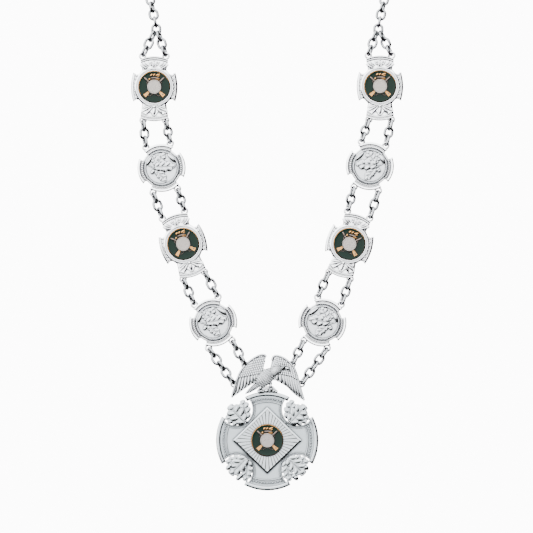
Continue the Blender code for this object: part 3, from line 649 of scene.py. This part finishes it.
oakPlaque = {
    "back": 1.0, "face": -1.0, "radius": 18.7, "waist": 15.4, "shoulder": 16.6,
    "earReach": 20.35, "earDeg": 28.3,
    "arms": [(0, 32), (90, 38.5), (180, 32), (270, 38.5)],  # middle and half of each, in degrees
    "band": 2.2, "rib": 15.0, "beads": 9, "beadReach": 15.2, "beadRadius": 0.7,
}
medallion = {
    "back": -1.3, "field": -2.6, "crest": -3.5, "radius": 13.2,
    # foot, length, width, direction, front
    "leaves": [((-3.6, 2.6), 9.6, 5.6, 104, -3.2), ((-4.0, 2.6), 12.2, 7.4, 47, -3.35),
               ((-4.4, -0.6), 12.4, 6.8, -59, -3.3), ((-5.2, 1.5), 16.4, 8.6, -6, -3.6)],
    # where the rim swells inward: turn, reach, half length, width
    "swells": [(141, 11.2, 4.4, 3.4), (35, 11.2, 5.0, 3.6)],
}


def oakEars():
    centres = {}
    for end, upright in (("top", 90), ("bottom", -90)):
        for side, way in (("left", 1), ("right", -1)):
            turn = upright + way * oakPlaque["earDeg"] * math.copysign(1, upright)
            centres[end, side] = polar(oakPlaque["earReach"], turn)
    return centres


def bandOutline(inner, outer, middle, half, steps, taper=0):
    return (arc(outer, middle - half, middle + half, steps)
            + arc(inner, middle + half - taper, middle - half + taper, steps))


def makeOakPlaque(pebble):
    face = oakPlaque["face"]
    radius = oakPlaque["radius"]
    outline = []
    parts = []
    drops = []
    arms = oakPlaque["arms"]
    waist = oakPlaque["waist"]
    shoulder = oakPlaque["shoulder"]
    for (middle, half), (_, nextHalf) in zip(arms, arms[1:] + arms[:1]):
        start = middle - half
        end = middle + half
        outline += [polar(waist, start - 1), polar(shoulder, start + 2.2)]
        outline += arc(radius, start, end, 14)
        outline += [polar(shoulder, end - 2.2), polar(waist, end + 1)]
        outline += arc(waist, end + 2, middle + 90 - nextHalf - 2, 2)
        band = bandOutline(radius - oakPlaque["band"], radius + 0.1, middle, half - 0.6, 14, 1.0)
        parts.append(cutPlate(band, face + 0.5, -2.1, 0.85))
        parts.append(ridge(arc(oakPlaque["rib"], start + 2, end - 2, 16), 0.6, face - 0.1))
        if middle % 180 == 0:
            for step in range(oakPlaque["beads"]):
                spot = polar(oakPlaque["beadReach"], middle - 24 + 6 * step)
                drops.append(dot(*spot, oakPlaque["beadRadius"], face - 0.35))
    parts.insert(0, cutPlate(outline, oakPlaque["back"], face, 0.6))
    parts.append(stamp(pebble, drops))
    parts.append(earsAt(oakEars().values()))
    return join(parts, "oakPlaqueModel")


def makeMedallion(pebble):
    radius = medallion["radius"]
    back = medallion["back"]
    field = medallion["field"]
    crest = medallion["crest"]
    parts = [turned([(0, back), (radius + 0.7, back), (radius + 0.4, crest + 1.0), (radius, crest + 0.4),
                     (radius - 0.3, crest), (radius - 0.6, crest), (radius - 1.4, field),
                     (radius - 1.7, field), (0, field)], 96)]
    for foot, length, width, turn, front in medallion["leaves"]:
        parts.append(putLeaf(pebble, length, width, turn, foot, field + 0.2, front))
    drops = [
        lay((-10.2, 3.6), (-7.2, 1.6), 0.9, 0.6, field - 0.1),  # stem
        lay((-7.8, 1.9), (-3.6, -0.8), 0.9, 0.7, field - 0.2),
        lay((-6.4, -1.3), (-8.8, -3.6), 2.9, 0.9, field - 0.1),  # acorn
        lay((-5.6, -0.8), (-7.6, -2.5), 3.3, 1.0, field - 0.05),  # its cup
        lay((-3.9, -3.4), (-5.2, -5.2), 1.7, 0.8, field - 0.1),  # buds beside the low leaf
        lay((-2.2, -5.6), (-3.4, -7.8), 1.7, 0.8, field - 0.1),
    ]
    for turn, reach, half, wide in medallion["swells"]:
        x, z = polar(reach, turn)
        side = polar(half, turn + 90)
        drops.append(lay((x - side[0], z - side[1]), (x + side[0], z + side[1]), wide, 0.9, field - 0.1))
    parts.append(stamp(pebble, drops))
    return join(parts, "medallionModel")


pendant = {
    "reaches": (40, 38, 40, 39.3),  # right, top, left, foot
    "back": 1.25, "face": -1.25, "crest": -2.05,
    "rim": 3.7, "bandLap": 0.15, "lift": 0.85, "armDeg": 27.5, "bayOffset": 34.2, "bayRadius": 12.6,
    "beads": 13, "beadReach": 5.8, "beadRadius": 0.75,
    "lozengeX": 27, "lozengeZ": 26.2, "lozengeBack": -1.55, "lozengeFront": -3.15, "seat": 12.8,
    "rays": 44, "grooveDeg": 0.9, "grooveDepth": 0.35,
}


def crossOutline():
    points = []
    arm = pendant["armDeg"]
    for quarter, reach in enumerate(pendant["reaches"]):
        middle = 90 * quarter
        points += arc(reach - pendant["bandLap"], middle - arm, middle + arm, 16)
        points += bayArc(quarter, 0, 20)[1:-1]
    return points


def bayArc(quarter, inset, steps):
    # along the round bay after this arm, this far inside the cross
    reaches = pendant["reaches"]
    arm = pendant["armDeg"]
    middle = 90 * quarter
    centre = polar(pendant["bayOffset"], middle + 45)
    before = polar(reaches[quarter] - 2.5 * inset, middle + arm)
    after = polar(reaches[(quarter + 1) % 4] - 2.5 * inset, middle + 90 - arm)
    inward = middle + 225
    ends = []
    for corner in (before, after):
        way = math.degrees(math.atan2(corner[1] - centre[1], corner[0] - centre[0]))
        ends.append(inward + (way - inward + 180) % 360 - 180)
    return arc(pendant["bayRadius"] + inset, ends[0], ends[1], steps, centre)


def makeCross(pebble, shadedMatte, bright):
    face = pendant["face"]
    field = setFinish(cutPlate(crossOutline(), pendant["back"], face, 0.6), shadedMatte)
    drops = []
    bands = []
    for quarter, reach in enumerate(pendant["reaches"]):
        middle = 90 * quarter
        half = pendant["armDeg"]
        bands.append(cutPlate(bandOutline(reach - pendant["rim"], reach, middle, half, 18),
                              pendant["back"] - 0.1, pendant["crest"], 1.4))
        inner = reach - pendant["rim"]
        bands.append(ridge(arc(inner - 4.4, middle - half * 0.76, middle + half * 0.76, 18), 0.5, face - 0.1))
        for step in range(pendant["beads"]):
            share = 2 * step / (pendant["beads"] - 1) - 1
            spot = polar(reach - pendant["beadReach"], middle + share * half * 0.80)
            drops.append(dot(*spot, pendant["beadRadius"], face - 0.25))
        for inset, radius in ((0.7, 0.45), (2.2, 0.32)):
            bands.append(ridge(bayArc(quarter, inset, 24), radius, face - 0.15))
    bands.append(stamp(pebble, drops))
    raised = setFinish(join(bands, "raised"), bright)
    return join([field, raised], "crossModel")


def makeLozenge():
    # flat rays parted by narrow grooves, from the seat to a plain border
    a = pendant["lozengeX"]
    b = pendant["lozengeZ"]
    front = pendant["lozengeFront"]
    turns = []
    for ray in range(pendant["rays"]):
        middle = 360 * (ray + 0.5) / pendant["rays"]
        turns += [(360 * ray / pendant["rays"], 0), (middle - pendant["grooveDeg"], 0),
                  (middle, pendant["grooveDepth"]), (middle + pendant["grooveDeg"], 0)]
    outer = []
    for turn, deep in turns:
        c, s = polar(1, turn)
        reach = 1 / (abs(c) / a + abs(s) / b)
        outer.append((reach * c, reach * s, deep))
    body = loopOf([(x, pendant["lozengeBack"], z) for x, z, deep in outer], "NGON")
    # share of the way out, or the seat's edge, then depth, then how much of the groove shows
    levels = [(1.0, front + 1.0, 0), (0.99, front + 0.7, 0), (0.94, front + 0.05, 0), (0.925, front, 0),
              (0.91, front + 0.12, 1), (None, front + 0.12, 1), (None, -1.9, 0)]
    for share, depth, groove in levels:
        bpy.ops.object.mode_set(mode="EDIT")
        bpy.ops.mesh.extrude_region_move(TRANSFORM_OT_translate={"value": (0, -0.0001, 0)})
        bpy.ops.object.mode_set(mode="OBJECT")
        for vert in [v for v in body.data.vertices if v.select]:
            x, z, deep = min(outer, key=lambda p: abs(math.remainder(
                math.atan2(p[1], p[0]) - math.atan2(vert.co.z, vert.co.x), math.tau)))
            scale = share or pendant["seat"] / math.hypot(x, z)
            vert.co = (x * scale * mm, (depth + deep * groove) * mm, z * scale * mm)
    bpy.ops.object.mode_set(mode="EDIT")
    faceOut()
    body.name = "lozengeModel"
    return finishEdges(body, 20)


spray = {
    "back": -1.55,
    # foot, length, width, direction, front; for the upper right, the others are mirrored
    "upper": [((16.0, 16.5), 15.6, 9.6, 77, -2.5), ((17.5, 14.3), 15.8, 9.4, 14, -2.5),
              ((17.6, 13.6), 18.6, 14.0, 48, -3.0)],
    "lower": [((15.0, 16.0), 16.2, 9.6, 82, -2.5), ((17.0, 14.6), 15.6, 8.6, 9, -2.5),
              ((16.4, 13.6), 18.4, 13.4, 46, -3.0)],
    "acorns": [(22.4, 29.4), (30.4, 21.4)],
}


def makeSpray(pebble, key):
    parts = []
    for foot, length, width, turn, front in spray[key]:
        parts.append(putLeaf(pebble, length, width, turn, foot, spray["back"], front))
    drops = [lay((15.0, 13.4), (20.0, 17.4), 1.6, 0.9, -2.0)]
    if key == "lower":
        for x, z in spray["acorns"]:
            drops.append(lay((x - 2.2, z - 2.2), (x + 1.6, z + 1.6), 3.8, 1.4, -1.9))
            drops.append(lay((x - 2.9, z - 2.9), (x - 0.3, z - 0.3), 4.4, 1.5, -1.8))
    parts.append(stamp(pebble, drops))
    return join(parts, "sprayModel")


eagle = {"span": 56.4, "height": 28.5, "back": 1.0, "face": -1.3, "longFeathers": 9, "covertRows": 10}
wingEyes = {
    "left_outer": (-0.462, 0.2), "left_inner": (-0.308, 0.712),
    "right_outer": (0.474, 0.208), "right_inner": (0.347, 0.742),
}
leftWing = [
    (-0.491, -0.175), (-0.476, -0.04), (-0.454, 0.101), (-0.423, 0.3), (-0.386, 0.479), (-0.35, 0.6),
    (-0.311, 0.701), (-0.27, 0.78), (-0.227, 0.847), (-0.175, 0.92), (-0.12, 0.973), (-0.085, 0.996),
    (-0.057, 1.0), (-0.03, 0.985), (-0.015, 0.942), (-0.035, 0.82), (-0.062, 0.71), (-0.025, 0.5),
    (-0.06, 0.3), (-0.11, 0.285), (-0.174, 0.238), (-0.255, 0.14), (-0.332, 0.038), (-0.41, -0.08),
]
rightWing = [
    (0.509, -0.255), (0.472, -0.01), (0.44, 0.227), (0.412, 0.44), (0.376, 0.627), (0.34, 0.72),
    (0.303, 0.795), (0.267, 0.86), (0.228, 0.91), (0.18, 0.95), (0.133, 0.973), (0.105, 0.97),
    (0.08, 0.942), (0.062, 0.84), (0.04, 0.64), (0.02, 0.38), (0.06, 0.31), (0.123, 0.29),
    (0.205, 0.21), (0.282, 0.101), (0.335, -0.01), (0.387, -0.107), (0.45, -0.19),
]
tailOutline = [(-0.15, 0.32), (-0.311, -0.09), (-0.225, -0.03), (-0.13, 0.08), (-0.04, 0.25)]
rockOutline = [(-0.15, 0.0), (-0.12, 0.08), (-0.05, 0.11), (0.02, 0.15), (0.08, 0.14), (0.12, 0.06),
               (0.15, 0.0)]
# where the long feathers start, and the wing's lower edge where they end, from the outside in
feathers = {
    "left": ([(-0.405, 0.4), (-0.3, 0.44), (-0.19, 0.48), (-0.085, 0.52)],
             [(-0.488, -0.16), (-0.332, 0.05), (-0.174, 0.248), (-0.07, 0.305)]),
    "right": ([(0.425, 0.33), (0.33, 0.44), (0.23, 0.48), (0.11, 0.52)],
              [(0.506, -0.24), (0.387, -0.095), (0.282, 0.11), (0.11, 0.3)]),
}
tailFeathers = [((-0.13, 0.3), (-0.305, -0.075)), ((-0.11, 0.28), (-0.27, -0.06)),
                ((-0.09, 0.27), (-0.23, -0.02)), ((-0.07, 0.26), (-0.18, 0.03))]
# half length, half depth, half width (mm), lean, place, rows of small feathers over it
eagleBodies = [
    (9.4, 4.1, 5.9, 44, (-0.024, 0.37), 13),
    (6.6, 3.7, 3.4, 33, (0.112, 0.555), 13),
    (3.3, 3.0, 2.5, -20, (0.208, 0.64), 0),
    (1.9, 2.2, 1.5, 60, (-0.085, 0.15), 0),
    (1.9, 2.2, 1.3, 70, (0.045, 0.2), 0),
]


def eaglePoint(share):
    return (share[0] * eagle["span"], share[1] * eagle["height"])


def along(points, share):
    # a point on a polyline, evenly by index
    at = share * (len(points) - 1)
    index = min(int(at), len(points) - 2)
    part = at - index
    (x0, z0), (x1, z1) = points[index], points[index + 1]
    return (x0 + (x1 - x0) * part, z0 + (z1 - z0) * part)


def inside(point, outline):
    x, z = point
    found = False
    for (x0, z0), (x1, z1) in zip(outline, outline[1:] + outline[:1]):
        if (z0 > z) != (z1 > z) and x < (x1 - x0) * (z - z0) / (z1 - z0) + x0:
            found = not found
    return found


def makeEagle(pebble):
    face = eagle["face"]
    left = [eaglePoint(p) for p in leftWing]
    right = [eaglePoint(p) for p in rightWing]
    parts = [cutPlate(wing, eagle["back"], face + 0.25, 0.25) for wing in (left, right)]
    parts.append(cutPlate([eaglePoint(p) for p in tailOutline], 0.8, face + 0.4, 0.2))
    parts.append(cutPlate([eaglePoint(p) for p in rockOutline], 0.8, face - 0.3, 0.3))
    parts.append(ridge(left[0:15], 0.85, face + 0.05))
    parts.append(ridge(right[0:14], 0.85, face + 0.05))
    drops = []
    count = eagle["longFeathers"]
    for side, wing in (("left", left), ("right", right)):
        starts, ends = feathers[side]
        for step in range(count):
            share = (step + 0.4) / count
            a = eaglePoint(along(starts, share))
            b = eaglePoint(along(ends, share))
            a = (a[0] + (a[0] - b[0]) * 0.10, a[1] + (a[1] - b[1]) * 0.10)
            drops.append(lay(a, b, 2.7, 0.50, face + 0.15))
            drops.append(lay(a, b, 0.4, 0.72, face + 0.15))
        # rows of small covert feathers above them
        for row in range(eagle["covertRows"]):
            for step in range(-2, 15):
                share = (step + 0.5 * (row % 2)) / 12
                a = eaglePoint(along(starts, share))
                b = eaglePoint(along(ends, share))
                way = Vector((a[0] - b[0], a[1] - b[1])).normalized()
                spot = (a[0] + way.x * 1.75 * row, a[1] + way.y * 1.75 * row)
                if inside((spot[0] + way.x * 0.8, spot[1] + way.y * 0.8), wing):
                    low = (spot[0] - way.x * 1.8, spot[1] - way.y * 1.8)
                    high = (spot[0] + way.x * 1.2, spot[1] + way.y * 1.2)
                    drops.append(lay(low, high, 1.55, 0.44 - 0.015 * row, face - 0.05))
    for a, b in tailFeathers:
        for width, height in ((1.8, 0.7), (0.35, 0.95)):
            drops.append(lay(eaglePoint(a), eaglePoint(b), width, height, face + 0.3))
    for halfLength, halfDepth, halfWidth, lean, place, rows in eagleBodies:
        body = leaning(*eaglePoint(place), lean) @ Matrix.Translation((0, -0.2 * mm, 0))
        drops.append(body @ Matrix.Diagonal((halfLength * mm, (halfDepth - 0.3) * mm, halfWidth * mm, 1)))
        for row in range(rows):
            u = -0.90 + 0.15 * row
            for step in range(9):
                v = -0.84 + 0.21 * (step + 0.5 * (row % 2))
                if u * u + v * v > 0.92:
                    continue
                y = -(halfDepth - 0.3) * math.sqrt(1 - u * u - v * v)
                spot = Matrix.Translation((u * halfLength * mm, y * mm, v * halfWidth * mm))
                tilt = Matrix.Rotation(math.radians(-40 * u * halfDepth / halfLength), 4, "Z")
                shape = Matrix.Diagonal((1.15 * mm, 0.16 * mm, 0.36 * mm, 1))
                drops.append(body @ spot @ tilt @ shape)
    head = eaglePoint((0.208, 0.640))
    drops += [
        lay((head[0] + 1.6, head[1] + 0.6), (head[0] + 6.0, head[1] - 1.5), 2.3, 1.5, -1.6),  # beak
        lay((head[0] + 4.6, head[1] - 0.6), (head[0] + 6.2, head[1] - 2.9), 1.1, 0.9, -1.5),  # its hook
        lay((head[0] - 1.6, head[1] + 1.5), (head[0] + 2.6, head[1] + 1.2), 0.9, 1.0, -2.6),  # brow
        dot(head[0] + 0.9, head[1] + 0.55, 0.45, -3.15),  # eye
    ]
    for x, z in ((-5.0, 1.0), (2.8, 2.6)):
        drops.append(lay((x - 0.6, z + 3.4), (x + 0.2, z - 0.6), 2.1, 1.3, -1.7))
        for spread in (-1.6, 0.2, 1.9):
            drops.append(lay((x, z + 0.2), (x + spread, z - 2.4), 0.9, 0.9, -2.3))
    for x, z, r in ((-6.4, -0.4, 1.4), (-3.6, -0.6, 1.5), (-0.6, 0.4, 1.8), (2.0, 0.2, 1.6), (4.8, 0.2, 1.6),
                    (7.0, -0.4, 1.2)):
        drops.append(lay((x - r, z + 0.2), (x + r, z - 0.3), 1.7 * r, 0.8 * r, -1.3))
    parts.append(stamp(pebble, drops))
    parts.append(earsAt([eaglePoint(p) for p in wingEyes.values()]))
    return join(parts, "eagleModel")


chain = {
    "wire": 1.7, "width": 8.2, "pitch": 6.1, "roll": 20, "hold": 1.62, "gap": 0.3,
    "drawnWire": 2.15, "drawnAcross": 3.1,  # a little heavier to look at than to fit
    "ringStretch": 1.2, "yokeAcross": 0.985, "yokeRise": 20.4, "hang": (0.5, 0.55),
    "route": [(1.085, 0.224), (1.085, 0.455), (0.940, 0.687), (0.590, 0.883)],
    "backRing": 10.1, "backWire": 3.8, "landsDeg": -27,
}


def linkModel():
    ring = wireRing(chain["drawnAcross"], chain["drawnWire"] / 2, 26, 12)
    ring.rotation_euler = (math.radians(90), math.radians(360 / 52), 0)
    bake(ring)
    bpy.ops.object.shade_smooth()
    return ring


def hangLink(model, endToEnd, spot, lean, turn, shift=0):
    # the ring with its halves drawn apart along X, its middle put this far along the line that leans
    # away from the spot
    link = newObject("link", model.data.copy())
    stretch = endToEnd / 2 - chain["drawnAcross"]
    for vert in link.data.vertices:
        vert.co.x += math.copysign(stretch * mm, vert.co.x)
    link.data.transform(Matrix.Translation((spot[0] * mm, 0, spot[1] * mm)) @ Matrix.Rotation(-lean, 4, "Y")
                        @ Matrix.Translation((shift * mm, 0, 0))
                        @ Matrix.Rotation(math.radians(turn), 4, "X"))
    return link


def shareOut(length):
    # an odd number of links on this length: how many, how long each is and how far apart they lie
    count = max(3, 2 * round((length / chain["pitch"] - 1) / 2) + 1)
    endToEnd = (length + (count - 1) * chain["hold"]) / count
    return count, endToEnd, endToEnd - chain["hold"]


def strandLinks(model, start, end):
    way = Vector((end[0] - start[0], end[1] - start[1]))
    slack = ear["hole"] * math.cos(math.pi / ear["sides"]) - chain["wire"] / 2 - chain["gap"]
    count, endToEnd, step = shareOut(way.length - 2 * slack)
    lean = math.atan2(way.y, way.x)
    links = []
    for index in range(count):
        turn = (90 if index % 2 == 0 else 0) - chain["roll"]
        links.append(hangLink(model, endToEnd, start, lean, turn, slack + endToEnd / 2 + index * step))
    return links


def finishChain(links, name, node):
    made = setFinish(join(links, name), mats["shadedChainSilver"])
    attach(made, root)
    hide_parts(node)


def yokeCentre(side):
    up = collar["height"] + enamelPlaque["top"] + chain["yokeRise"]
    return (side * chain["yokeAcross"] * collar["spread"], up - collar["drop"])


def yokeLinks(model, side, starts):
    x, z = yokeCentre(side)
    ringLength = chain["width"] - chain["wire"] + chain["ringStretch"]
    links = [hangLink(model, ringLength, (x, z), -math.radians(90), 0)]
    inner = chain["width"] / 2 - chain["wire"]
    for start, turn in zip(starts, (-1, 1)):
        hang = (x + turn * chain["hang"][0] * inner, z - chain["hang"][1] * inner)
        links += strandLinks(model, start, hang)
    return links


def backRoute(side):
    # the hidden chain's way from the ring over the top plaque to the ring at the nape
    x, z = yokeCentre(side)
    top = z + (chain["width"] - chain["wire"] + chain["ringStretch"]) / 2
    points = [Vector((x, top - chain["wire"]))]
    for across, up in chain["route"]:
        points.append(Vector((side * across * collar["spread"], (1 - up) * (top + 1))))
    inner = chain["backRing"] - chain["backWire"] / 2 - chain["wire"] / 2
    x, z = polar(inner, chain["landsDeg"])
    points.append(Vector((side * x, z)))
    ends = [2 * points[0] - points[1], *points, 2 * points[-1] - points[-2]]
    line = []
    for index in range(1, len(ends) - 2):
        before, here, there, after = ends[index - 1:index + 3]
        for step in range(24):
            t = step / 24
            line.append(0.5 * (2 * here + (there - before) * t
                               + (2 * before - 5 * here + 4 * there - after) * t ** 2
                               + (3 * here - before - 3 * there + after) * t ** 3))
    line.append(points[-1])
    return line


def backLinks(model, side):
    line = backRoute(side)
    lengths = [0]
    for first, second in zip(line, line[1:]):
        lengths.append(lengths[-1] + (second - first).length)
    total = lengths[-1]

    def spot(distance):
        for index in range(len(line) - 1):
            if lengths[index + 1] >= distance or index == len(line) - 2:
                part = (distance - lengths[index]) / (lengths[index + 1] - lengths[index])
                return line[index].lerp(line[index + 1], part)

    count, endToEnd, step = shareOut(total)
    links = []
    for index in range(count):
        first = spot(index * step)
        last = spot(min(index * step + endToEnd, total))
        middle = (first + last) / 2
        lean = math.atan2(last.y - first.y, last.x - first.x)
        turn = (90 if index % 2 == 0 else 0) - (chain["roll"] if 1 < index < count - 2 else 0)
        links.append(hangLink(model, endToEnd, middle, lean, turn))
    return links, count, total


makeCamera()
makeLight()
group = castGroup()
mats = {name: makeFinish(name, group) for name in finishes}
makeFloor(mats["floor"])
print("camera, light and finishes ready")

pebble = pebbleModel()
models = {
    "enamel": setFinish(makeEnamelPlaque(pebble), mats["silver"]),
    "roundel": makeRoundel(mats["enamel"], mats["gilt"]),
    "emblem": makeEmblem(pebble, mats["gilt"], mats["gunMetalAndShade"]),
    "disc": makeDisc(mats["paleDisc"]),
    "oak": setFinish(makeOakPlaque(pebble), mats["silver"]),
    "medallion": setFinish(makeMedallion(pebble), mats["shadedReliefSilver"]),
}
print("plaque models ready")

# for each kind of plaque: model, name, node, slot
plaquePieces = {
    "enamel": [("enamel", "enamelPlaque", "enamel_plaque", "silver_plating"),
               ("roundel", "enamelRoundel", "enamel_roundel", "green_enamel"),
               ("emblem", "riflesAndHat", "emblem", "gilt_brass"),
               ("disc", "centreDisc", "centre_disc", "pale_disc")],
    "oak": [("oak", "oakPlaque", "oak_plaque", "silver_plating"),
            ("medallion", "oakMedallion", "oak_medallion", "matte_silver")],
}
flipX = Matrix.Scale(-1, 4, (1, 0, 0))
flipZ = Matrix.Scale(-1, 4, (0, 0, 1))
ears = {}
for side, number, kind, across, up, lean in plaques:
    matrix = leaning(across * collar["spread"], up * collar["height"] - collar["drop"], lean)
    centres = enamelEars() if kind == "enamel" else oakEars()
    for key, (x, z) in centres.items():
        spot = matrix @ Vector((x * mm, 0, z * mm))
        ears[(side, number) + key] = (spot.x / mm, spot.z / mm)
    for key, name, node, slot in plaquePieces[kind]:
        place = matrix @ flipX if (key, side) == ("medallion", "right") else matrix
        placeCopy(models[key], f"{name}{side.title()}{number}", place, f"{node}_{side}_{number}")
print("eight plaques placed")

centre = Matrix.Translation((0, 0, -collar["drop"] * mm))
lifted = centre @ Matrix.Translation((0, -pendant["lift"] * mm, 0))
perch = collar["crossTop"] - collar["drop"]
models["cross"] = makeCross(pebble, mats["shadedMatteSilver"], mats["shadedRimSilver"])
models["lozenge"] = setFinish(makeLozenge(), mats["shadedRimSilver"])
models["upper"] = setFinish(makeSpray(pebble, "upper"), mats["shadedRimSilver"])
models["lower"] = setFinish(makeSpray(pebble, "lower"), mats["shadedRimSilver"])
models["eagle"] = setFinish(makeEagle(pebble), mats["shadedReliefSilver"])
for key, name, place, node, slot in (
    ("cross", "pendantCross", centre, "pendant_cross", "silver_plating"),
    ("lozenge", "pendantLozenge", centre, "pendant_lozenge", "silver_plating"),
    ("roundel", "pendantRoundel", lifted, "pendant_roundel", "green_enamel"),
    ("emblem", "pendantRiflesAndHat", lifted, "pendant_emblem", "gilt_brass"),
    ("disc", "pendantDisc", lifted, "pendant_disc", "pale_disc"),
    ("upper", "leafSprayUpperRight", centre, "leaf_spray_upper_right", "matte_silver"),
    ("upper", "leafSprayUpperLeft", centre @ flipX, "leaf_spray_upper_left", "matte_silver"),
    ("lower", "leafSprayLowerRight", centre @ flipZ, "leaf_spray_lower_right", "matte_silver"),
    ("lower", "leafSprayLowerLeft", centre @ flipZ @ flipX, "leaf_spray_lower_left", "matte_silver"),
    ("eagle", "eagle", Matrix.Translation((0, 0, perch * mm)), "eagle", "silver_plating"),
):
    placeCopy(models[key], name, place, node)
print("pendant and eagle placed")

link = linkModel()
for side, sign in (("left", -1), ("right", 1)):
    for upperPlaque in (1, 2, 3):
        for edge in ("left", "right"):
            links = strandLinks(link, ears[side, upperPlaque, "bottom", edge],
                                ears[side, upperPlaque + 1, "top", edge])
            finishChain(links, f"strand{side.title()}{upperPlaque}{edge.title()}",
                        f"strand_{side}_{upperPlaque}{upperPlaque + 1}_{edge}")
    outer, inner = ("left", "right") if side == "left" else ("right", "left")
    for where, edge in (("outer", outer), ("inner", inner)):
        x, z = eaglePoint(wingEyes[f"{side}_{where}"])
        links = strandLinks(link, ears[side, 4, "bottom", edge], (x, z + perch))
        finishChain(links, f"pendantStrand{side.title()}{where.title()}", f"pendant_strand_{side}_{where}")
    starts = [ears[side, 1, "top", "left"], ears[side, 1, "top", "right"]]
    finishChain(yokeLinks(link, sign, starts), "yokeChain" + side.title(), f"yoke_chain_{side}")
    links, count, total = backLinks(link, sign)
    finishChain(links, "backChain" + side.title(), f"back_chain_{side}")
    print(f"back chain {side}: {count} links on {total:.0f} mm")

ring = bake(wireRing(chain["backRing"], chain["backWire"] / 2, 72, 24, 90))
bpy.ops.object.shade_smooth()
finishChain([ring], "backRing", "back_ring")
print("chains placed")

for model in (*models.values(), link, pebble):
    bpy.data.objects.remove(model)
